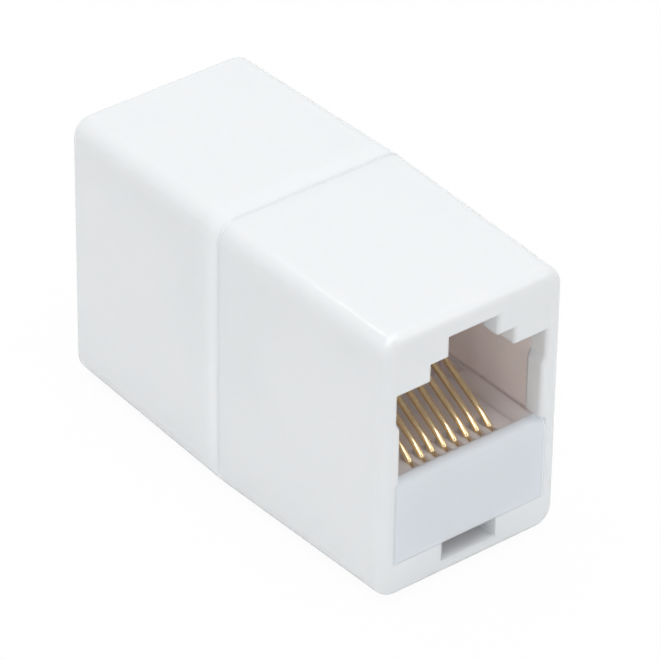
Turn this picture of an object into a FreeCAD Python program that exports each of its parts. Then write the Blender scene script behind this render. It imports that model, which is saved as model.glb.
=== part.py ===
"""RJ45 inline coupler: two white moulded half shells, each holding a contact
insert with eight wire contacts, joined through one small circuit board.

The part stands on its underside, +Z up.  Its length lies along Y: port A looks
along -Y, port B along +Y.  The origin is under the middle of the underside.
Depths are measured from a port's face towards the seam, which lies at Y = 0.
"""
import FreeCAD, Part
import math
import os

import Sketcher
from FreeCAD import Placement, Rotation, Vector

# name: (millimetres or degrees, what it is)
SIZES = {
    "body_length": (36.0, "from port face to port face"),
    "mould_draft": (1.0, "draft of each half, in degrees"),
    "long_round": (1.6, "radius of the four long edges"),
    "face_round": (0.8, "radius round each port face"),
    "seam_chamfer": (0.08, "bevel of the outer seam edges"),
    "side_wall": (1.1, "thickness of a side at the seam"),
    "floor_wall": (1.65, "thickness of the underside at the seam"),
    "roof_wall": (1.6, "thickness of the top at the seam"),
    "front_wall": (1.7, "thickness of the wall round a port"),
    "tongue_wall": (0.55, "thickness of the seam tongue"),
    "tongue_length": (1.0, "how far the tongue passes the seam"),
    "slip_fit": (0.05, "clearance of parts that slide together"),
    "port_width": (13.24, "width of the opening for the plug"),
    "port_ledge": (0.58, "how far the cavity is wider than the port on each side"),
    "port_ceiling": (17.35, "height of the port's ceiling above the underside"),
    "latch_width": (7.4, "width of the wide step for the latch"),
    "latch_rise": (1.39, "height of the wide step over the port's ceiling"),
    "notch_width": (4.3, "width of the narrow step for the latch tail"),
    "notch_rise": (1.63, "height of the narrow step over the wide one"),
    "notch_cover": (2.23, "thickness of the top over the narrow step"),
    "rim_round": (0.38, "rounding of the port's rim"),
    "slot_width": (4.85, "width of the release slot under the insert"),
    "guide_wall": (0.9, "thickness of the plug guides under the roof"),
    "guide_length": (9.3, "length of the plug guides"),
    "panel_foot": (3.2, "height of the insert panel's lower edge"),
    "lip_height": (9.93, "height of the insert's lip"),
    "lip_depth": (1.0, "thickness of the lip"),
    "lip_round": (0.9, "rounding of the lip's front edge"),
    "deck_height": (9.3, "height of the insert's deck"),
    "deck_depth": (9.5, "depth at which the deck ends"),
    "deck_wall": (1.0, "thickness of the deck over the contact tails"),
    "rib_height": (0.9, "height of the ribs between the contact tails"),
    "leg_wall": (1.75, "thickness of the insert's legs"),
    "rail_width": (1.42, "width of the low rail beside the deck"),
    "rail_height": (0.35, "height of the rail where it meets the cheek"),
    "rail_round": (0.9, "radius of the rail's crown"),
    "rail_depth": (8.1, "depth at which the wide rail ends"),
    "rail_strip": (0.4, "width of the strip that runs on behind the rail"),
    "pillar_top": (15.08, "height at which the opening narrows to its pillars"),
    "pillar_rise": (0.61, "height of the slope on a pillar's top"),
    "pillar_ledge": (0.29, "how far a pillar stands in from the port's side"),
    "panel_ledge": (0.4, "how far the panel reaches behind each pillar's line"),
    "stop_depth": (11.0, "depth of the plug stop"),
    "stop_wall": (1.2, "thickness of the plug stop"),
    "guide_floor": (10.4, "height of the guide slots' lower end"),
    "comb_front": (1.7, "depth at which the comb slots begin"),
    "comb_rear": (3.5, "depth at which the comb slots end"),
    "bar_gap": (1.5, "gap between the board and the bar that holds the tails"),
    "contact_pitch": (1.016, "distance between neighbouring contacts"),
    "contact_wire": (0.46, "diameter of the contact wire"),
    "comb_clearance": (0.06, "slot width beyond the wire's diameter"),
    "bend_radius": (0.8, "radius of the contact's front bend"),
    "bend_depth": (2.3, "depth of the wire's centre at the bend's front"),
    "bend_stagger": (0.1, "how much nearer the face the even bends are"),
    "shoulder_radius": (7.0, "radius of the shoulder between bend and spring arm"),
    "shoulder_slope": (40.0, "rise where the shoulder leaves the bend, in degrees"),
    "contact_slope": (29.5, "rise of the spring arm, in degrees"),
    "spring_depth": (11.6, "depth of the spring arm's free end"),
    "tail_spacing": (2.54, "distance between the two rows of board holes"),
    "tail_bend": (0.8, "radius of the bends in a dropped tail"),
    "tail_slant": (45.0, "fall of a dropped tail's slanting run, in degrees"),
    "tail_end": (0.6, "how far a tail passes through the board"),
    "dropped_length": (1.6, "straight length of a dropped tail before the board"),
    "board_wall": (1.0, "thickness of the circuit board"),
    "board_side_gap": (0.2, "gap beside the circuit board"),
    "board_top_gap": (0.15, "gap over the circuit board"),
    "hole_clearance": (0.08, "board hole beyond the wire's diameter"),
}
CONTACT_COUNT = 8
WIRE_SIDES = 6

os.makedirs("parts", exist_ok=True)
doc = FreeCAD.newDocument("inline_coupler")
sheet = doc.addObject("Spreadsheet::Sheet", "Sizes")
for row, (alias, (number, note)) in enumerate(SIZES.items(), start=1):
    sheet.set(f"A{row}", note)
    sheet.set(f"B{row}", str(number))
    sheet.setAlias(f"B{row}", alias)
doc.recompute()


class Size:
    """A length that keeps both its number and its expression in the sheet."""

    def __init__(self, number, text):
        self.number = number
        self.text = text

    def __add__(self, other):
        other = as_size(other)
        return Size(self.number + other.number, f"({self.text} + {other.text})")

    def __sub__(self, other):
        other = as_size(other)
        return Size(self.number - other.number, f"({self.text} - {other.text})")

    def __mul__(self, other):
        other = as_size(other)
        return Size(self.number * other.number, f"({self.text} * {other.text})")

    def __truediv__(self, other):
        other = as_size(other)
        return Size(self.number / other.number, f"({self.text} / {other.text})")

    def __neg__(self):
        return Size(-self.number, f"(0 - {self.text})")

    def sine(self):
        return Size(math.sin(math.radians(self.number)), f"sin({self.text})")

    def cosine(self):
        return Size(math.cos(math.radians(self.number)), f"cos({self.text})")

    def tangent(self):
        return Size(math.tan(math.radians(self.number)), f"tan({self.text})")


def as_size(value):
    return value if isinstance(value, Size) else Size(value, repr(value))


def size(alias):
    """The named size, as it stands in the sheet."""
    return Size(SIZES[alias][0], f"Sizes.{alias}")


class Arc:
    """An outline's step along an arc; a positive radius turns to the left."""

    def __init__(self, corner, radius):
        self.corner = corner
        self.radius = radius


def arc_centre(start, end, radius):
    """Centre of the short arc between two points, left of the way if positive."""
    chord = end - start
    middle = (start + end) * 0.5
    reach = math.sqrt(max(radius * radius - chord.Length ** 2 / 4, 0.0))
    left = Vector(-chord.y, chord.x, 0).normalize()
    return middle + left * (reach if radius > 0 else -reach)


def origin_plane(body, role):
    return next(item for item in body.Origin.OriginFeatures if item.Role == role)


def flat_sketch(body, name, role, offset):
    """An empty sketch on one of the body's own planes, moved along its normal."""
    sketch = body.newObject("Sketcher::SketchObject", name)
    sketch.AttachmentSupport = [(origin_plane(body, role), "")]
    sketch.MapMode = "FlatFace"
    sketch.setExpression("AttachmentOffset.Base.z", as_size(offset).text)
    return sketch


def pin(sketch, geometry, end, corner):
    """Ties one end of a line to its two coordinates."""
    for kind, length in zip(("DistanceX", "DistanceY"), corner):
        length = as_size(length)
        rule = Sketcher.Constraint(kind, -1, 1, geometry, end, length.number)
        sketch.setExpression(f"Constraints[{sketch.addConstraint(rule)}]", length.text)


def draw(body, name, role, steps, offset=0, closed=True):
    """A sketch of straight and arc steps whose corners follow the sheet."""
    sketch = flat_sketch(body, name, role, offset)
    corners = [step.corner if isinstance(step, Arc) else step for step in steps]
    spots = [Vector(as_size(x).number, as_size(y).number, 0) for x, y in corners]
    ends = []
    for i in range(len(steps) if closed else len(steps) - 1):
        after = (i + 1) % len(steps)
        start, stop, step = spots[i], spots[after], steps[after]
        if isinstance(step, Arc):
            radius = as_size(step.radius)
            centre = arc_centre(start, stop, radius.number)
            first, last = (start, stop) if radius.number > 0 else (stop, start)
            angles = [math.atan2(p.y - centre.y, p.x - centre.x) for p in (first, last)]
            if angles[1] < angles[0]:
                angles[1] += 2 * math.pi
            circle = Part.Circle(centre, Vector(0, 0, 1), abs(radius.number))
            index = sketch.addGeometry(Part.ArcOfCircle(circle, *angles), False)
            bend = Sketcher.Constraint("Radius", index, abs(radius.number))
            text = radius.text if radius.number > 0 else (-radius).text
            sketch.setExpression(f"Constraints[{sketch.addConstraint(bend)}]", text)
            ends.append((index, 1, 2) if radius.number > 0 else (index, 2, 1))
        else:
            index = sketch.addGeometry(Part.LineSegment(start, stop), False)
            ends.append((index, 1, 2))
    for i, (index, first, last) in enumerate(ends):
        pin(sketch, index, first, corners[i])
        if closed or i + 1 < len(ends):
            follower = ends[(i + 1) % len(ends)]
            sketch.addConstraint(
                Sketcher.Constraint("Coincident", index, last, follower[0], follower[1]))
    if not closed:
        pin(sketch, ends[-1][0], ends[-1][2], corners[-1])
    return sketch


def box_corners(left, right, low, high):
    return [(left, low), (right, low), (right, high), (left, high)]


def extrude(body, kind, sketch, length, backwards=False, both_ways=False):
    """A pad or pocket of a sketch, checked to change the body's volume."""
    before = body.Shape.Volume if body.Tip else 0.0
    feature = body.newObject(f"PartDesign::{kind}", sketch.Name.replace("Outline", kind))
    feature.Profile = sketch
    feature.setExpression("Length", as_size(length).text)
    feature.Reversed = backwards
    if both_ways:
        feature.SideType = "Symmetric"
    body.Tip = feature
    doc.recompute()
    changed = body.Shape.Volume - before
    if (changed <= 0) if kind == "Pad" else (changed >= 0):
        raise RuntimeError(f"{feature.Name} changes nothing")
    return feature


def mirror(body, feature):
    """The same feature on the other side of the middle plane."""
    mirrored = body.newObject("PartDesign::Mirrored", feature.Name + "Mirrored")
    mirrored.Originals = [feature]
    mirrored.MirrorPlane = (origin_plane(body, "YZ_Plane"), [""])
    body.Tip = mirrored
    doc.recompute()
    return mirrored


def repeat_for_contacts(body, feature, sketch):
    """The feature once for each contact, along the sketch's own X."""
    row = body.newObject("PartDesign::LinearPattern", feature.Name + "Row")
    row.Originals = [feature]
    row.Direction = (sketch, ["H_Axis"])
    row.setExpression("Length", (size("contact_pitch") * (CONTACT_COUNT - 1)).text)
    row.Occurrences = CONTACT_COUNT
    body.Tip = row
    doc.recompute()
    return row


def edges_where(shape, rule):
    return [f"Edge{i}" for i, edge in enumerate(shape.Edges, start=1) if rule(edge)]


def dress(body, kind, name, rule, alias):
    """A fillet or chamfer on every edge of the body that fits the rule."""
    base = body.Tip
    feature = body.newObject(f"PartDesign::{kind}", name)
    feature.Base = (base, edges_where(base.Shape, rule))
    feature.setExpression("Radius" if kind == "Fillet" else "Size", size(alias).text)
    body.Tip = feature
    doc.recompute()
    return feature


def new_body(label):
    body = doc.addObject("PartDesign::Body", label)
    body.Label = label
    return body


# ---- values that several pieces share -----------------------------------------

half_length = size("body_length") / 2
port_half = size("port_width") / 2
inner_half = port_half + size("port_ledge")
outer_half = inner_half + size("side_wall")
latch_ceiling = size("port_ceiling") + size("latch_rise")
notch_ceiling = latch_ceiling + size("notch_rise")
body_height = notch_ceiling + size("notch_cover")
roof_height = body_height - size("roof_wall")
floor_height = size("floor_wall")
insert_half = inner_half - size("slip_fit")
cheek_half = port_half
pillar_half = port_half - size("pillar_ledge")
bay_half = pillar_half + size("panel_ledge")
bay_top = size("lip_height") + size("slip_fit")
panel_half = bay_half - size("slip_fit")
pillar_shoulder = size("pillar_top") - size("pillar_rise")
leg_half = insert_half - size("leg_wall")
rail_foot = cheek_half - size("rail_width")
insert_top = size("port_ceiling") - size("slip_fit")
shoulder_depth = size("front_wall")
stop_rear = size("stop_depth") + size("stop_wall")
groove_top = size("deck_height") - size("deck_wall")
rib_foot = groove_top - size("rib_height")
board_half_wall = size("board_wall") / 2
bar_length = half_length - board_half_wall - size("bar_gap") - stop_rear
comb_slot = size("contact_wire") + size("comb_clearance")
tail_height = groove_top - comb_slot / 2
first_contact = -(size("contact_pitch") * (CONTACT_COUNT - 1) / 2)


def from_face(depth):
    """Sketch offset on the XZ plane for a depth behind the port's face."""
    return half_length - depth


def along(depth):
    """Y of a depth behind the face of port A."""
    return as_size(depth) - half_length


# ---- the two half shells ------------------------------------------------------

def port_outline():
    """The port's stepped opening, the panel's bay and the release slot below it."""
    latch_half = size("latch_width") / 2
    notch_half = size("notch_width") / 2
    slot_half = size("slot_width") / 2
    right = [
        (slot_half, floor_height), (slot_half, size("panel_foot")),
        (bay_half, size("panel_foot")), (bay_half, bay_top),
        (pillar_half, bay_top), (pillar_half, pillar_shoulder),
        (port_half, size("pillar_top")), (port_half, size("port_ceiling")),
        (latch_half, size("port_ceiling")), (latch_half, latch_ceiling),
        (notch_half, latch_ceiling), (notch_half, notch_ceiling),
    ]
    return right + [(-x, z) for x, z in reversed(right)]


def plug_guide(body, name, near, far):
    """A rib under the roof that guides the plug's top, on both sides."""
    low, high = size("port_ceiling"), roof_height
    sketch = draw(body, name + "Outline", "XZ_Plane", box_corners(near, far, low, high),
                  from_face(shoulder_depth))
    mirror(body, extrude(body, "Pad", sketch, size("guide_length"), backwards=True))


def drafted_block(body, name):
    """The outer block: full size at the seam, drafted inwards towards the port."""
    inset = half_length * size("mould_draft").tangent()
    block = body.newObject("PartDesign::AdditiveWedge", name)
    limits = {
        "Ymin": -half_length, "Ymax": as_size(0),
        "Xmin": inset - outer_half, "Xmax": outer_half - inset,
        "Zmin": inset, "Zmax": body_height - inset,
        "X2min": -outer_half, "X2max": outer_half, "Z2min": as_size(0), "Z2max": body_height,
    }
    for limit, length in limits.items():
        setattr(block, limit, length.number)
        block.setExpression(limit, length.text)
    body.Tip = block
    doc.recompute()


def half_shell(label, has_tongue):
    """One drafted half of the housing, open at the seam and at its port."""
    body = new_body(label)
    drafted_block(body, label + "_Block")
    face_y = -half_length.number
    flat = 1e-4
    dress(body, "Fillet", label + "_LongEdges",
          lambda edge: edge.BoundBox.YLength > half_length.number / 2, "long_round")
    dress(body, "Fillet", label + "_FaceEdges",
          lambda edge: edge.BoundBox.YMax < face_y + flat, "face_round")
    dress(body, "Chamfer", label + "_SeamEdges",
          lambda edge: edge.BoundBox.YMin > -flat, "seam_chamfer")
    reach = size("tongue_length") if has_tongue else Size(0, "0")
    if has_tongue:
        tongue_half = inner_half + size("tongue_wall")
        tongue = draw(body, label + "_TongueOutline", "XZ_Plane",
                      box_corners(-tongue_half, tongue_half,
                                  floor_height - size("tongue_wall"),
                                  roof_height + size("tongue_wall")))
        extrude(body, "Pad", tongue, reach, backwards=True)
    cavity = draw(body, label + "_CavityOutline", "XZ_Plane",
                  box_corners(-inner_half, inner_half, floor_height, roof_height), -reach)
    extrude(body, "Pocket", cavity, half_length - shoulder_depth + reach, backwards=True)
    if not has_tongue:
        room = size("tongue_wall") + size("slip_fit")
        rebate = draw(body, label + "_RebateOutline", "XZ_Plane",
                      box_corners(-(inner_half + room), inner_half + room,
                                  floor_height - room, roof_height + room))
        extrude(body, "Pocket", rebate, size("tongue_length") + size("slip_fit"),
                backwards=True)
    port = draw(body, label + "_PortOutline", "XZ_Plane", port_outline(), half_length)
    extrude(body, "Pocket", port, shoulder_depth)
    face = next(f for f in body.Tip.Shape.Faces if f.BoundBox.YMax < face_y + flat)
    rim = [edge for wire in face.Wires if not wire.isSame(face.OuterWire)
           for edge in wire.Edges if edge.BoundBox.ZMax > bay_top.number + flat]
    dress(body, "Fillet", label + "_Rim",
          lambda edge: any(edge.isSame(other) for other in rim), "rim_round")
    latch_half = size("latch_width") / 2
    plug_guide(body, label + "_InnerGuide", latch_half, latch_half + size("guide_wall"))
    plug_guide(body, label + "_OuterGuide", inner_half - size("guide_wall"), inner_half)
    return body


# ---- the two contact inserts --------------------------------------------------

def insert_section(outer_half, low, high, rail_outer):
    """Closed section: two walls, the deck between them and its two low rails."""
    deck = size("deck_height")
    rail_top = deck + size("rail_height")
    crown = size("rail_round")
    return [
        (-outer_half, low), (outer_half, low), (outer_half, high), (rail_outer, high),
        (rail_outer, rail_top), Arc((rail_foot, deck), crown), (-rail_foot, deck),
        Arc((-rail_outer, rail_top), crown), (-rail_outer, high), (-outer_half, high),
    ]


def contact_insert(label):
    """The moulding that closes the port's lower part and carries the contacts."""
    body = new_body(label)
    deck, foot = size("deck_height"), size("panel_foot")
    rail_top = deck + size("rail_height")

    channel = draw(body, label + "_ChannelOutline", "XZ_Plane",
                   insert_section(insert_half, floor_height, insert_top, cheek_half),
                   from_face(shoulder_depth))
    extrude(body, "Pad", channel, stop_rear - shoulder_depth, backwards=True)

    threshold = draw(body, label + "_ThresholdOutline", "XZ_Plane",
                     [(-panel_half, foot), (panel_half, foot), (panel_half, rail_top)]
                     + insert_section(panel_half, foot, rail_top, cheek_half)[4:8]
                     + [(-panel_half, rail_top)],
                     from_face(size("lip_depth")))
    extrude(body, "Pad", threshold, shoulder_depth - size("lip_depth"), backwards=True)

    lip, curve = size("lip_height"), size("lip_round")
    panel = draw(body, label + "_PanelOutline", "YZ_Plane", [
        (along(0), foot), (along(size("lip_depth")), foot),
        (along(size("lip_depth")), lip), (along(curve), lip),
        Arc((along(0), lip - curve), curve)])
    extrude(body, "Pad", panel, panel_half * 2, both_ways=True)

    stop = draw(body, label + "_StopOutline", "XZ_Plane",
                box_corners(-cheek_half, cheek_half, deck, insert_top),
                from_face(size("stop_depth")))
    extrude(body, "Pad", stop, size("stop_wall"), backwards=True)

    space = draw(body, label + "_SpaceOutline", "XZ_Plane",
                 box_corners(-leg_half, leg_half, floor_height, rib_foot),
                 from_face(shoulder_depth))
    extrude(body, "Pocket", space, stop_rear - shoulder_depth)

    strip = cheek_half - size("rail_strip")
    well = draw(body, label + "_WellOutline", "XY_Plane", [
        (-strip, along(size("rail_depth"))), (-rail_foot, along(size("rail_depth"))),
        (-rail_foot, along(size("deck_depth"))), (rail_foot, along(size("deck_depth"))),
        (rail_foot, along(size("rail_depth"))), (strip, along(size("rail_depth"))),
        (strip, along(size("stop_depth"))), (-strip, along(size("stop_depth")))],
        size("lip_height") + size("rail_round"))
    extrude(body, "Pocket", well, size("lip_height") + size("rail_round") - rib_foot)

    leg = draw(body, label + "_LegOutline", "XZ_Plane",
               box_corners(leg_half, insert_half, floor_height, deck),
               from_face(stop_rear))
    leg_reach = half_length - board_half_wall - stop_rear
    mirror(body, extrude(body, "Pad", leg, leg_reach, backwards=True))

    bar = draw(body, label + "_BarOutline", "XZ_Plane",
               box_corners(-leg_half, leg_half, rib_foot, deck), from_face(stop_rear))
    extrude(body, "Pad", bar, bar_length, backwards=True)

    near, far = first_contact - comb_slot / 2, first_contact + comb_slot / 2
    groove = draw(body, label + "_GrooveOutline", "XZ_Plane",
                  box_corners(near, far, rib_foot, groove_top),
                  from_face(size("comb_front")))
    run = stop_rear + bar_length - size("comb_front")
    repeat_for_contacts(body, extrude(body, "Pocket", groove, run), groove)

    comb = draw(body, label + "_CombOutline", "XY_Plane",
                box_corners(near, far, along(size("comb_front")), along(size("comb_rear"))),
                deck)
    repeat_for_contacts(body, extrude(body, "Pocket", comb, deck - rib_foot), comb)

    guide = draw(body, label + "_GuideOutline", "XZ_Plane",
                 box_corners(near, far, size("guide_floor"), insert_top),
                 from_face(size("stop_depth")))
    repeat_for_contacts(body, extrude(body, "Pocket", guide, size("stop_wall")), guide)
    return body


# ---- contacts and board -------------------------------------------------------

def contact_route(dropped):
    """Middle line of a contact: tail, front bend, shoulder and rising spring arm."""
    depth = size("bend_depth") - (size("bend_stagger") if dropped else Size(0, "0"))
    radius, slope = size("bend_radius"), size("contact_slope")
    steep, sweep = size("shoulder_slope"), size("shoulder_radius")
    bend_y = along(depth) + radius
    foot_y = bend_y - radius * steep.sine()
    foot_z = tail_height + radius + radius * steep.cosine()
    arm_y = foot_y + sweep * (steep.sine() - slope.sine())
    arm_z = foot_z + sweep * (slope.cosine() - steep.cosine())
    end_y = along(size("spring_depth"))
    end_z = arm_z + (end_y - arm_y) * slope.tangent()
    board_y = size("board_wall") / 2 + size("tail_end")
    tail = [(board_y, tail_height)]
    if dropped:
        bend, low = size("tail_bend"), tail_height - size("tail_spacing")
        slant = size("tail_slant")
        across, rise = bend * slant.sine(), bend * (as_size(1) - slant.cosine())
        low_y = -(board_half_wall + size("dropped_length"))
        mid_y = low_y - across
        top_y = mid_y - (size("tail_spacing") - rise * 2) / slant.tangent()
        tail = [
            (board_y, low), (low_y, low), Arc((mid_y, low + rise), -bend),
            (top_y, tail_height - rise), Arc((top_y - across, tail_height), bend),
        ]
    return tail + [(bend_y, tail_height), Arc((foot_y, foot_z), -radius),
                   Arc((arm_y, arm_z), -sweep), (end_y, end_z)]


def wire_section(height):
    """The wire's section, with few sides because sixteen wires repeat it."""
    radius = size("contact_wire") / 2
    turns = [as_size(360.0 * side / WIRE_SIDES) for side in range(WIRE_SIDES)]
    return [(radius * turn.cosine(), height + radius * turn.sine()) for turn in turns]


def contact(label, number):
    """One wire contact; the even ones drop to the board's lower row."""
    body = new_body(label)
    route = contact_route(dropped=number % 2 == 0)
    spine = draw(body, label + "_Route", "YZ_Plane", route, closed=False)
    tail_y, height = route[0]
    profile = draw(body, label + "_Wire", "XZ_Plane", wire_section(height), -tail_y)
    doc.recompute()
    pipe = body.newObject("PartDesign::AdditivePipe", label + "_Pipe")
    pipe.Profile = profile
    pipe.Spine = (spine, [f"Edge{i + 1}" for i in range(spine.GeometryCount)])
    body.Tip = pipe
    doc.recompute()
    return body


def circuit_board():
    """The board at the seam, with two rows of holes for the contact tails."""
    body = new_body("circuit_board")
    half = inner_half - size("board_side_gap")
    board = draw(body, "board_Outline", "XZ_Plane",
                 box_corners(-half, half, floor_height, roof_height - size("board_top_gap")))
    extrude(body, "Pad", board, size("board_wall"), both_ways=True)
    bore = (size("contact_wire") + size("hole_clearance")) / 2
    for name, height in (("upper", tail_height), ("lower", tail_height - size("tail_spacing"))):
        hole = flat_sketch(body, f"board_{name}_Outline", "XZ_Plane", Size(0, "0"))
        centre = Vector(first_contact.number, height.number, 0)
        hole.addGeometry(Part.Circle(centre, Vector(0, 0, 1), bore.number), False)
        pin(hole, 0, 3, (first_contact, height))
        rule = Sketcher.Constraint("Radius", 0, bore.number)
        hole.setExpression(f"Constraints[{hole.addConstraint(rule)}]", bore.text)
        cut = extrude(body, "Pocket", hole, size("board_wall"), both_ways=True)
        repeat_for_contacts(body, cut, hole)
    return body


# ---- assembly -----------------------------------------------------------------

turned = Rotation(Vector(0, 0, 1), 180)
pieces = [half_shell("front_shell", has_tongue=True), contact_insert("front_insert")]
rear_pieces = [half_shell("rear_shell", has_tongue=False), contact_insert("rear_insert")]
pitch = size("contact_pitch")
for end, group in (("front", pieces), ("rear", rear_pieces)):
    for number in range(1, CONTACT_COUNT + 1):
        group.append(contact(f"{end}_contact_{number}", number))
        across = first_contact + pitch * (number - 1)
        if end == "rear":
            across = -across
        group[-1].setExpression("Placement.Base.x", across.text)
for piece in rear_pieces:
    piece.Placement = Placement(piece.Placement.Base, turned)
pieces += rear_pieces + [circuit_board()]
doc.recompute()

for item in doc.Objects:
    if {"Invalid", "Error"} & set(item.State):
        raise RuntimeError(f"{item.Name} failed: {item.State}")
for piece in pieces:
    if piece.Shape.isNull() or not piece.Shape.isValid() or len(piece.Shape.Solids) != 1:
        raise RuntimeError(f"{piece.Label} has no sound shape")
    piece.Shape.exportStep(f"parts/{piece.Label}.step")
    print(f"{piece.Label}: {piece.Shape.Volume:.2f} mm3")
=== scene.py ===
"""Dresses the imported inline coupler: two moulded half shells, their contact
inserts, sixteen sprung wire contacts and the circuit board between them.

Everything is in metres, in the part's own frame: +Z up, port A looks along -Y,
port B along +Y, and the origin is under the middle of the underside.  Depths are
measured from a port's face towards the seam at Y = 0.
"""
import math

import bpy
from bpy.props import FloatProperty, FloatVectorProperty, PointerProperty
from mathutils import Matrix, Vector


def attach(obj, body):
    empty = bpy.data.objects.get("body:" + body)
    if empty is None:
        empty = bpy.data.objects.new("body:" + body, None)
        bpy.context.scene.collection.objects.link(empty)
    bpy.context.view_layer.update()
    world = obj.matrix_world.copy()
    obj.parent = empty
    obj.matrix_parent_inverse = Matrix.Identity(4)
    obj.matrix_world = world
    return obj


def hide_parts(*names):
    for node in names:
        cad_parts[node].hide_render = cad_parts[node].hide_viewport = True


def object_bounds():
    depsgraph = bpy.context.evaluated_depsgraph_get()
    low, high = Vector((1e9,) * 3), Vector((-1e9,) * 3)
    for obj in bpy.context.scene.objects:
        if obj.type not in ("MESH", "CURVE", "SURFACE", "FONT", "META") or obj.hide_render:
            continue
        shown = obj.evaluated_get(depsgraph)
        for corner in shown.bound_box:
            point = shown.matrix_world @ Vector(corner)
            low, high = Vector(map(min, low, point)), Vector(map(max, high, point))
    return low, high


bl_info = {
    "name": "Inline Coupler",
    "version": (1, 0, 0),
    "blender": (4, 5, 0),
    "location": "View3D > Sidebar > Coupler",
    "description": "Finishes the moulded shells, inserts and wire contacts of a coupler",
    "category": "Object",
}

MM = 0.001
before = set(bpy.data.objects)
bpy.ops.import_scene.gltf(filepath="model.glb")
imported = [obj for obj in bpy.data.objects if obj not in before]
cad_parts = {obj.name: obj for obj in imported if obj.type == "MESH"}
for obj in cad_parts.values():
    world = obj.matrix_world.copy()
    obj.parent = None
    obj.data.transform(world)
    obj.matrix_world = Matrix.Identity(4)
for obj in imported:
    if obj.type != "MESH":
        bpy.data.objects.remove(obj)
CAD_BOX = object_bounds()

CONTACTS = 8                    # in each port
ARC_STEP = math.radians(4)      # longest step along a bend in the wire
SAME_POINT = 0.001 * MM         # nearer than this, two points of a route are one

PLASTIC_IOR = 1.54
EDGE_WEAR_MM = 0.25             # how far a moulded edge looks rounded
RIPPLE_MM = 1.6                 # size of the ripple that a polished mould leaves
LIGHT_DEPTH_MM = 1.0            # how far light spreads in the white plastic
PAINTED_TINT_DEPTH_MM = (0.6, 1.6)     # depths over which the insert goes from cool to a warm painted tint
GRAIN_MM = 0.35                 # clouds and dents along the plated wire
WEAVE_MM = 0.5                  # glass cloth in the board
EPOXY_IOR = 1.55

# A Mix node repeats its socket names for each kind of value, so they are numbered.
COLOUR_A, COLOUR_B, COLOUR_OUT = 6, 7, 2
NUMBER_A, NUMBER_B, NUMBER_OUT = 2, 3, 0

# Lamps: offset from the coupler's middle and width in metres, power in watts.
LAMPS = {
    "Overhead softbox": ((0.0, 0.0, 0.60), 0.60, 1.9),
    "Side softbox": ((-0.43, -0.43, 0.10), 0.50, 0.22),
    "Front softbox": ((0.0, -0.42, 0.42), 0.80, 0.16),
    "Edge lamp": ((-0.0415, 0.134, 0.208), 0.012, 0.009),
}
# Cards in the tent: direction, reach in degrees, strength added.
CARDS = (
    ((0.50, -0.66, 0.52), 14, 1.0),
    ((0.0, -0.78, 0.62), 8, -0.8),
    ((-0.45, -0.20, 0.85), 18, 2.2),
)
CARD_FADE = 1.6                 # a card fades out at this many times its reach
TENT_IN_GLOSS = 0.85            # the tent's strength in glossy surfaces
TENT_AS_LIGHT = 0.54            # and as light on the coupler

FLOOR_HALF = 3.0                # metres from the middle of the floor to its sides
FLOOR_GLOW = 0.95               # share of plain white; the rest keeps the shadow

SENSOR_WIDTH = 36.0             # millimetres
CAMERA_SHIFT = (0.0427, -0.0516)
CAMERA_AIM = Vector((0.06, 1.13, 12.67)) * MM
CAMERA_NEAR = 10 * MM           # nothing nearer than this is drawn


# ---- colours and nodes --------------------------------------------------------

def linear(hex_colour):
    """An sRGB hex colour as the linear RGBA that shader sockets take."""
    channels = [int(hex_colour[i:i + 2], 16) / 255 for i in (1, 3, 5)]
    return [c / 12.92 if c <= 0.04045 else ((c + 0.055) / 1.055) ** 2.4
            for c in channels] + [1.0]


def darker(colour, share):
    """The linear colour times the share, still opaque."""
    return [c * share for c in colour[:3]] + [1.0]


def add_node(tree, kind, settings=None, **links):
    """Adds a node; settings are its properties or its sockets' plain values."""
    node = tree.nodes.new(kind)
    for name, value in (settings or {}).items():
        if name in node.inputs:
            node.inputs[name].default_value = value
        else:
            setattr(node, name, value)
    for name, source in links.items():
        tree.links.new(source, node.inputs[name.replace("_", " ")])
    return node


def empty_material(name):
    """A named material with nothing but its output."""
    material = bpy.data.materials.new(name)
    material.use_nodes = True
    material.node_tree.nodes.clear()
    return material, material.node_tree


def per_mm(size_mm):
    """Texture scale, in object coordinates, of a pattern that repeats every size_mm."""
    return 1.0 / (size_mm * MM)


def clouded(tree, place, colour, depth, size_mm):
    """The colour in soft clouds of about size_mm, darker by at most depth."""
    cloud = add_node(tree, "ShaderNodeTexNoise",
                     {"Scale": per_mm(size_mm), "Detail": 2.0}, Vector=place)
    tint = add_node(tree, "ShaderNodeMix", {"data_type": "RGBA"},
                    Factor=cloud.outputs["Fac"])
    tint.inputs[COLOUR_A].default_value = colour
    tint.inputs[COLOUR_B].default_value = darker(colour, 1 - depth)
    return tint.outputs[COLOUR_OUT]


def in_corners(tree, reach_mm, openness, value, alone=False):
    """A value that follows how open the surface is within reach_mm: value[0] where it
    is as open as openness[0], value[1] at openness[1].  alone leaves the
    neighbouring pieces out."""
    shade = add_node(tree, "ShaderNodeAmbientOcclusion",
                     {"Distance": reach_mm * MM, "samples": 4, "only_local": alone})
    scaled = add_node(tree, "ShaderNodeMapRange", {
        "From Min": openness[0], "From Max": openness[1],
        "To Min": value[0], "To Max": value[1],
    }, Value=shade.outputs["AO"])
    return scaled.outputs["Result"]


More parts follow.
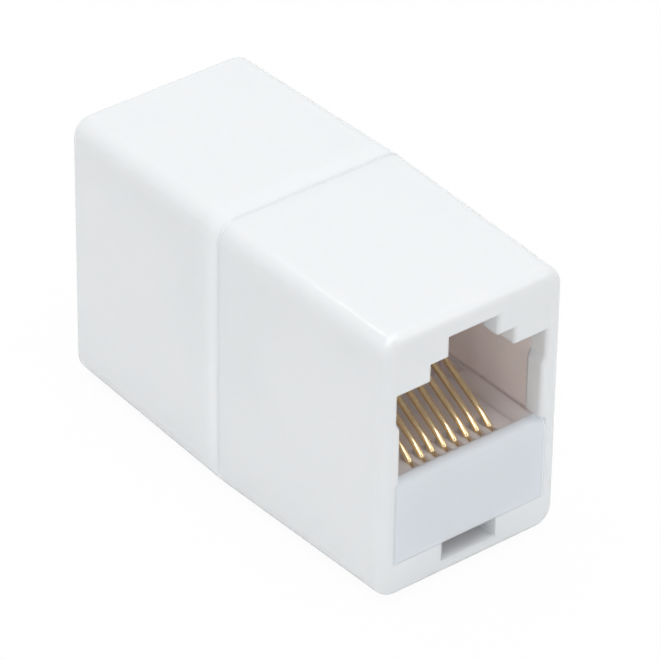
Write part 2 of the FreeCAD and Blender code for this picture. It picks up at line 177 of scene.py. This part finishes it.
def polished_mould(tree, place, colour, roughness, glow):
    """The skin that a polished steel mould leaves: soft gloss, edges worn soft and a
    faint ripple.  The glow is a painted glow: emission in the surface's own colour
    where the surface is shaded, standing in for light through the plastic."""
    edge = add_node(tree, "ShaderNodeBevel",
                    {"Radius": EDGE_WEAR_MM * MM, "samples": 3})
    ripple = add_node(tree, "ShaderNodeTexNoise",
                      {"Scale": per_mm(RIPPLE_MM), "Detail": 1.0}, Vector=place)
    dent = add_node(tree, "ShaderNodeBump", {"Strength": 0.05, "Distance": 0.02 * MM},
                    Height=ripple.outputs["Fac"], Normal=edge.outputs["Normal"])
    # Painted glow: emission in the surface's own colour, as strong as glow
    skin = add_node(tree, "ShaderNodeBsdfPrincipled", {
        "Roughness": roughness, "IOR": PLASTIC_IOR, "Subsurface Weight": 0.36,
        "Subsurface Radius": (1.0, 0.9, 0.85), "Subsurface Scale": LIGHT_DEPTH_MM * MM,
    }, Base_Color=colour, Normal=dent.outputs["Normal"],
        Emission_Color=colour, Emission_Strength=glow)
    add_node(tree, "ShaderNodeOutputMaterial", Surface=skin.outputs["BSDF"])


def cool_white_abs(name, finish):
    """ABS with a cool white pigment, moulded against polished steel.

    It gives the eye a clean gloss.  Light spreads under the surface, so the edges
    are soft, and a painted glow, emission in the seam and narrow crevices where
    shade falls, keeps the seam pale as if light came through the thin walls.
    """
    material, tree = empty_material(name)
    place = add_node(tree, "ShaderNodeTexCoord").outputs["Object"]
    colour = clouded(tree, place, finish.shell, depth=0.03, size_mm=9.0)
    # Painted glow: emission of up to 0.5 in the seam and narrow crevices, where shade
    # falls
    seam = in_corners(tree, reach_mm=0.1, openness=(0.8, 0.3), value=(0.0, 0.5))
    polished_mould(tree, place, colour, roughness=0.16, glow=seam)
    return material


def warm_white_abs(name, finish):
    """The inserts' ABS, moulded a little duller than the shells.

    It gives the eye a cool, slightly greyer panel in the port's mouth and a warm
    off-white behind it, whose warmth is partly a painted tint of bounced light;
    painted shade darkens the corners round the contacts, and a painted glow lights
    it faintly where it lies deep.
    """
    material, tree = empty_material(name)
    place = add_node(tree, "ShaderNodeTexCoord").outputs["Object"]
    axes = add_node(tree, "ShaderNodeSeparateXYZ", Vector=place)
    from_seam = add_node(tree, "ShaderNodeMath", {"operation": "ABSOLUTE"})
    tree.links.new(axes.outputs["Y"], from_seam.inputs[0])
    # Painted tint: from the face inwards the colour goes from the cool panel colour to the
    # warm off-white; the warmth deeper in stands in for light bounced round the off-white
    # walls and gold contacts.
    face = CAD_BOX[1][1]
    behind = add_node(tree, "ShaderNodeMapRange", {
        "From Min": face - PAINTED_TINT_DEPTH_MM[0] * MM,
        "From Max": face - PAINTED_TINT_DEPTH_MM[1] * MM,
    }, Value=from_seam.outputs["Value"])
    # Painted shade: in the insert's own corners its colour falls to 0.8, where shade falls
    # round the contacts and the rail.
    painted_corner_shade = in_corners(tree, reach_mm=0.3, openness=(0.5, 0.9),
                               value=(0.0, 1.0), alone=True)
    insert_with_painted_shade = add_node(tree, "ShaderNodeMix", {"data_type": "RGBA"}, Factor=painted_corner_shade)
    insert_with_painted_shade.inputs[COLOUR_A].default_value = darker(finish.insert, 0.8)
    tree.links.new(clouded(tree, place, finish.insert, depth=0.06, size_mm=4.0),
                   insert_with_painted_shade.inputs[COLOUR_B])
    colour = add_node(tree, "ShaderNodeMix", {"data_type": "RGBA"},
                      Factor=behind.outputs["Result"])
    tree.links.new(clouded(tree, place, finish.panel, depth=0.03, size_mm=9.0),
                   colour.inputs[COLOUR_A])
    tree.links.new(insert_with_painted_shade.outputs[COLOUR_OUT], colour.inputs[COLOUR_B])
    # Painted glow: emission of up to 0.045 where the insert lies deep in shade, standing
    # in for light through the walls.
    painted_deep_glow = in_corners(tree, reach_mm=3.0, openness=(0.8, 0.3), value=(0.0, 0.045))
    polished_mould(tree, place, colour.outputs[COLOUR_OUT], roughness=0.3, glow=painted_deep_glow)
    return material


def gold_wire(name, finish):
    """Phosphor-bronze spring wire, drawn and then gold plated: a pale yellow
    metal with sharp highlights and faint clouds along the wire."""
    material, tree = empty_material(name)
    place = add_node(tree, "ShaderNodeTexCoord").outputs["Object"]
    grain = add_node(tree, "ShaderNodeTexNoise",
                     {"Scale": per_mm(GRAIN_MM), "Detail": 2.0}, Vector=place)
    dent = add_node(tree, "ShaderNodeBump", {"Strength": 0.06, "Distance": 0.01 * MM},
                    Height=grain.outputs["Fac"])
    colour = clouded(tree, place, finish.gold, depth=0.14, size_mm=GRAIN_MM)
    plate = add_node(tree, "ShaderNodeBsdfPrincipled",
                     {"Metallic": 1.0, "Roughness": 0.14},
                     Base_Color=colour, Normal=dent.outputs["Normal"])
    add_node(tree, "ShaderNodeOutputMaterial", Surface=plate.outputs["BSDF"])
    return material


def glass_epoxy(name, finish):
    """Glass-epoxy board under green solder mask: a dark glossy green with the
    glass cloth's weave just showing through."""
    material, tree = empty_material(name)
    place = add_node(tree, "ShaderNodeTexCoord").outputs["Object"]
    weave = add_node(tree, "ShaderNodeTexChecker", {
        "Scale": per_mm(WEAVE_MM),
        "Color1": finish.board, "Color2": darker(finish.board, 0.7),
    }, Vector=place)
    mask = add_node(tree, "ShaderNodeBsdfPrincipled",
                    {"Roughness": 0.35, "IOR": EPOXY_IOR},
                    Base_Color=weave.outputs["Color"])
    add_node(tree, "ShaderNodeOutputMaterial", Surface=mask.outputs["BSDF"])
    return material


def clad(obj, material):
    """Gives the whole piece one material."""
    obj.data.materials.clear()
    obj.data.materials.append(material)


# ---- settings -----------------------------------------------------------------

class COUPLER_PG_wire(bpy.types.PropertyGroup):
    """The contact wire and its route"""
    thickness: FloatProperty(
        name="Thickness", description="Diameter of the contact wire",
        default=0.46 * MM, unit="LENGTH")
    pitch: FloatProperty(
        name="Pitch", description="Distance between neighbouring contacts",
        default=1.016 * MM, unit="LENGTH")
    tail_height: FloatProperty(
        name="Tail height", description="Height of the straight tails",
        default=8.04 * MM, unit="LENGTH")
    bend_depth: FloatProperty(
        name="Bend depth", description="Depth of the front bend behind the port's face",
        default=2.3 * MM, unit="LENGTH")
    bend_stagger: FloatProperty(
        name="Bend stagger", description="How much nearer the face the even bends are",
        default=0.1 * MM, unit="LENGTH")
    bend_radius: FloatProperty(
        name="Bend radius", description="Radius of the front bend",
        default=0.8 * MM, unit="LENGTH")
    shoulder_radius: FloatProperty(
        name="Shoulder radius", description="Radius between bend and spring arm",
        default=7.0 * MM, unit="LENGTH")
    shoulder_slope: FloatProperty(
        name="Shoulder slope", description="Rise where the shoulder leaves the bend",
        default=math.radians(40.0), subtype="ANGLE")
    arm_slope: FloatProperty(
        name="Arm slope", description="Rise of the spring arm",
        default=math.radians(29.5), subtype="ANGLE")
    arm_end: FloatProperty(
        name="Arm end", description="Depth of the spring arm's free end",
        default=11.6 * MM, unit="LENGTH")
    row_drop: FloatProperty(
        name="Row drop", description="How far the even tails drop to the lower row",
        default=2.54 * MM, unit="LENGTH")
    drop_bend: FloatProperty(
        name="Drop bend", description="Radius of the bends in a dropped tail",
        default=0.8 * MM, unit="LENGTH")
    drop_start: FloatProperty(
        name="Drop start", description="Where a dropped tail leaves the lower row",
        default=2.1 * MM, unit="LENGTH")
    tail_reach: FloatProperty(
        name="Tail reach", description="How far a tail passes the seam",
        default=1.1 * MM, unit="LENGTH")


class COUPLER_PG_finish(bpy.types.PropertyGroup):
    """The colours of the pieces"""
    shell: FloatVectorProperty(
        name="Shell", description="Colour of the two half shells",
        default=linear("#F4F7FA"), size=4, min=0, max=1, subtype="COLOR")
    panel: FloatVectorProperty(
        name="Panel", description="Colour of the insert in the port's mouth",
        default=linear("#E8EDF3"), size=4, min=0, max=1, subtype="COLOR")
    # The insert colour's warmth, blended in behind the panel, is partly a painted tint of
    # bounced light.
    insert: FloatVectorProperty(
        name="Insert", description="Colour of the insert round the contacts",
        default=linear("#F3E9E7"), size=4, min=0, max=1, subtype="COLOR")
    gold: FloatVectorProperty(
        name="Gold", description="Colour of the plated contacts",
        default=linear("#FCE3B5"), size=4, min=0, max=1, subtype="COLOR")
    board: FloatVectorProperty(
        name="Board", description="Colour of the circuit board's solder mask",
        default=linear("#1F4A2C"), size=4, min=0, max=1, subtype="COLOR")


class COUPLER_PG_stage(bpy.types.PropertyGroup):
    """Where the camera stands and its lens"""
    azimuth: FloatProperty(
        name="Azimuth", description="Turn of the camera about the coupler",
        default=math.radians(-38.455), subtype="ANGLE")
    elevation: FloatProperty(
        name="Elevation", description="Height of the camera over the horizon",
        default=math.radians(34.093), subtype="ANGLE")
    roll: FloatProperty(
        name="Roll", description="Turn of the camera about its own axis",
        default=math.radians(-0.626), subtype="ANGLE")
    distance: FloatProperty(
        name="Distance", description="From the camera to the point it looks at",
        default=359.8 * MM, unit="LENGTH")
    lens: FloatProperty(
        name="Lens", description="Focal length of the camera",
        default=274.9, unit="CAMERA")


# ---- operators ----------------------------------------------------------------

class COUPLER_OT_plastic(bpy.types.Operator):
    """Finishes the two half shells and the two contact inserts"""
    bl_idname = "coupler.plastic"
    bl_label = "Moulded plastic"

    def execute(self, context):
        finish = context.scene.coupler_finish
        shell = cool_white_abs("Cool white ABS, polished mould", finish)
        insert = warm_white_abs("Off-white ABS, insert", finish)
        for end in ("front", "rear"):
            clad(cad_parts[end + "_shell"], shell)
            clad(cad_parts[end + "_insert"], insert)
        return {"FINISHED"}


def turn(points, centre, radius, first, last):
    """Adds points along an arc in the wire's own plane, angles in radians."""
    steps = max(2, math.ceil(abs(last - first) / ARC_STEP))
    for step in range(steps + 1):
        angle = first + (last - first) * step / steps
        point = (centre[0] + radius * math.cos(angle),
                 centre[1] + radius * math.sin(angle))
        if math.dist(point, points[-1]) > SAME_POINT:
            points.append(point)


def wire_route(wire, dropped):
    """Middle line of a contact of port A, from its tail to its free end, as (y, z)."""
    face = CAD_BOX[0][1]
    quarter = math.pi / 2
    height = wire.tail_height
    points = [(wire.tail_reach, height)]
    if dropped:
        low, bend = height - wire.row_drop, wire.drop_bend
        slant = math.radians(45)
        across, rise = bend * math.sin(slant), bend * (1 - math.cos(slant))
        top = -wire.drop_start - across - (wire.row_drop - 2 * rise)
        points = [(wire.tail_reach, low)]
        turn(points, (-wire.drop_start, low + bend), bend, -quarter, -quarter - slant)
        turn(points, (top - across, height - bend), bend, quarter - slant, quarter)
    depth = wire.bend_depth - (wire.bend_stagger if dropped else 0)
    centre = (face + depth + wire.bend_radius, height + wire.bend_radius)
    turn(points, centre, wire.bend_radius, -quarter,
         -math.pi - quarter + wire.shoulder_slope)
    foot = points[-1]
    sweep = wire.shoulder_radius
    hub = (foot[0] + sweep * math.sin(wire.shoulder_slope),
           foot[1] - sweep * math.cos(wire.shoulder_slope))
    turn(points, hub, sweep, quarter + wire.shoulder_slope, quarter + wire.arm_slope)
    end = face + wire.arm_end
    start = points[-1]
    points.append((end, start[1] + (end - start[0]) * math.tan(wire.arm_slope)))
    return points


def round_wire(name, wire, points, across, facing):
    """A round wire along the route; facing is 1 in port A and -1 in port B."""
    curve = bpy.data.curves.new(name, "CURVE")
    curve.dimensions = "3D"
    curve.bevel_depth = wire.thickness / 2
    curve.bevel_resolution = 6
    curve.use_fill_caps = True
    spline = curve.splines.new("POLY")
    spline.points.add(len(points) - 1)
    for point, (y, z) in zip(spline.points, points):
        point.co = (across, y * facing, z, 1.0)
    spline.use_smooth = True
    contact = bpy.data.objects.new(name, curve)
    bpy.context.scene.collection.objects.link(contact)
    return contact


class COUPLER_OT_contacts(bpy.types.Operator):
    """Bends the sixteen round wire contacts and finishes the circuit board"""
    bl_idname = "coupler.contacts"
    bl_label = "Wire contacts"

    def execute(self, context):
        wire, finish = context.scene.coupler_wire, context.scene.coupler_finish
        gold = gold_wire("Gold-plated spring wire", finish)
        for end, facing in (("front", 1), ("rear", -1)):
            for number in range(1, CONTACTS + 1):
                node = f"{end}_contact_{number}"
                points = wire_route(wire, dropped=number % 2 == 0)
                across = (number - (CONTACTS + 1) / 2) * wire.pitch * facing
                contact = round_wire(node + "_round", wire, points, across, facing)
                contact.data.materials.append(gold)
                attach(contact, "root")
                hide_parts(node)
        board = glass_epoxy("Glass-epoxy board, green mask", finish)
        clad(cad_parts["circuit_board"], board)
        return {"FINISHED"}


class COUPLER_OT_stage(bpy.types.Operator):
    """Sets the floor, the studio light and the camera"""
    bl_idname = "coupler.stage"
    bl_label = "Stage"

    def execute(self, context):
        settings = context.scene.coupler_stage
        scene = context.scene
        scene.view_settings.view_transform = "Standard"
        lay_floor()
        light_world(scene)
        middle = Vector((0, 0, (CAD_BOX[0][2] + CAD_BOX[1][2]) / 2))
        for name, (offset, width, power) in LAMPS.items():
            hang_lamp(name, middle, offset, width, power)
        set_camera(scene, settings)
        return {"FINISHED"}


def lay_floor():
    """A plain white sheet that keeps only a faint shadow."""
    corners = [(x * FLOOR_HALF, y * FLOOR_HALF, 0)
               for x, y in ((-1, -1), (1, -1), (1, 1), (-1, 1))]
    mesh = bpy.data.meshes.new("Floor")
    mesh.from_pydata(corners, [], [(0, 1, 2, 3)])
    floor = bpy.data.objects.new("Floor", mesh)
    bpy.context.scene.collection.objects.link(floor)
    material, tree = empty_material("White paper sweep")
    paper = add_node(tree, "ShaderNodeBsdfDiffuse", {"Color": linear("#FAFAFA")})
    glow = add_node(tree, "ShaderNodeEmission", {"Strength": 1.0})
    path = add_node(tree, "ShaderNodeLightPath")
    share = add_node(tree, "ShaderNodeMath", {"operation": "MULTIPLY"})
    tree.links.new(path.outputs["Is Camera Ray"], share.inputs[0])
    share.inputs[1].default_value = FLOOR_GLOW
    mixed = add_node(tree, "ShaderNodeMixShader")
    tree.links.new(share.outputs[0], mixed.inputs[0])
    tree.links.new(paper.outputs[0], mixed.inputs[1])
    tree.links.new(glow.outputs[0], mixed.inputs[2])
    add_node(tree, "ShaderNodeOutputMaterial", Surface=mixed.outputs[0])
    mesh.materials.append(material)


def hang_card(tree, place, direction, reach, extra, rest):
    """Adds a card to what glossy surfaces reflect: extra strength, negative for a
    black card, within reach degrees of the direction.  rest is the strength that it
    adds to, a number or a socket."""
    towards = add_node(tree, "ShaderNodeVectorMath", {"operation": "DOT_PRODUCT"})
    tree.links.new(place, towards.inputs[0])
    towards.inputs[1].default_value = Vector(direction).normalized()
    shape = add_node(tree, "ShaderNodeMapRange", {
        "From Min": math.cos(math.radians(reach * CARD_FADE)),
        "From Max": math.cos(math.radians(reach)), "To Min": 0.0, "To Max": extra,
    }, Value=towards.outputs["Value"])
    both = add_node(tree, "ShaderNodeMath", {"operation": "ADD"})
    tree.links.new(shape.outputs["Result"], both.inputs[0])
    if isinstance(rest, float):
        both.inputs[1].default_value = rest
    else:
        tree.links.new(rest, both.inputs[1])
    return both.outputs[0]


def light_world(scene):
    """A white tent all round, with cards that only glossy surfaces reflect."""
    world = bpy.data.worlds.new("White studio")
    world.use_nodes = True
    tree = world.node_tree
    tree.nodes.clear()
    path = add_node(tree, "ShaderNodeLightPath")
    place = add_node(tree, "ShaderNodeTexCoord").outputs["Generated"]
    tent = TENT_IN_GLOSS
    for direction, reach, extra in CARDS:
        tent = hang_card(tree, place, direction, reach, extra, tent)
    glossy = add_node(tree, "ShaderNodeMix", {"data_type": "FLOAT"},
                      Factor=path.outputs["Is Glossy Ray"])
    glossy.inputs[NUMBER_A].default_value = TENT_AS_LIGHT
    tree.links.new(tent, glossy.inputs[NUMBER_B])
    seen = add_node(tree, "ShaderNodeMath", {"operation": "MAXIMUM"})
    tree.links.new(path.outputs["Is Camera Ray"], seen.inputs[0])
    tree.links.new(glossy.outputs[NUMBER_OUT], seen.inputs[1])
    sky = add_node(tree, "ShaderNodeBackground", Strength=seen.outputs["Value"])
    sky.inputs["Color"].default_value = linear("#FFFFFF")
    add_node(tree, "ShaderNodeOutputWorld", Surface=sky.outputs["Background"])
    scene.world = world


def hang_lamp(name, middle, offset, width, power):
    """A square softbox that looks at the coupler's middle."""
    data = bpy.data.lights.new(name, "AREA")
    data.shape = "SQUARE"
    data.size = width
    data.energy = power
    lamp = bpy.data.objects.new(name, data)
    bpy.context.scene.collection.objects.link(lamp)
    lamp.location = middle + Vector(offset)
    lamp.rotation_euler = (-Vector(offset)).to_track_quat("-Z", "Y").to_euler()


def set_camera(scene, settings):
    """A long lens that looks down at port A and the coupler's left side."""
    data = bpy.data.cameras.new("Camera")
    data.lens = settings.lens
    data.sensor_width = SENSOR_WIDTH
    data.shift_x, data.shift_y = CAMERA_SHIFT
    data.clip_start = CAMERA_NEAR
    camera = bpy.data.objects.new("Camera", data)
    scene.collection.objects.link(camera)
    az, el = settings.azimuth, settings.elevation
    towards = Vector((math.sin(az) * math.cos(el), -math.cos(az) * math.cos(el),
                      math.sin(el)))
    camera.location = CAMERA_AIM + towards * settings.distance
    level = (-towards).to_track_quat("-Z", "Y").to_matrix()
    camera.rotation_euler = (level @ Matrix.Rotation(-settings.roll, 3, "Z")).to_euler()
    scene.camera = camera


# ---- panel and registration ---------------------------------------------------

class COUPLER_PT_panel(bpy.types.Panel):
    """Lists the steps in the 3D view's sidebar"""
    bl_label = "Inline coupler"
    bl_space_type = "VIEW_3D"
    bl_region_type = "UI"
    bl_category = "Coupler"

    def draw(self, context):
        for step in STEPS:
            self.layout.operator(step.bl_idname)


STEPS = (COUPLER_OT_plastic, COUPLER_OT_contacts, COUPLER_OT_stage)
CLASSES = (COUPLER_PG_wire, COUPLER_PG_finish, COUPLER_PG_stage,
           *STEPS, COUPLER_PT_panel)


def register():
    for cls in CLASSES:
        bpy.utils.register_class(cls)
    bpy.types.Scene.coupler_wire = PointerProperty(type=COUPLER_PG_wire)
    bpy.types.Scene.coupler_finish = PointerProperty(type=COUPLER_PG_finish)
    bpy.types.Scene.coupler_stage = PointerProperty(type=COUPLER_PG_stage)


def unregister():
    del bpy.types.Scene.coupler_stage
    del bpy.types.Scene.coupler_finish
    del bpy.types.Scene.coupler_wire
    for cls in reversed(CLASSES):
        bpy.utils.unregister_class(cls)


def main():
    register()
    for name in ("plastic", "contacts", "stage"):
        getattr(bpy.ops.coupler, name)()


if __name__ == "__main__":
    main()
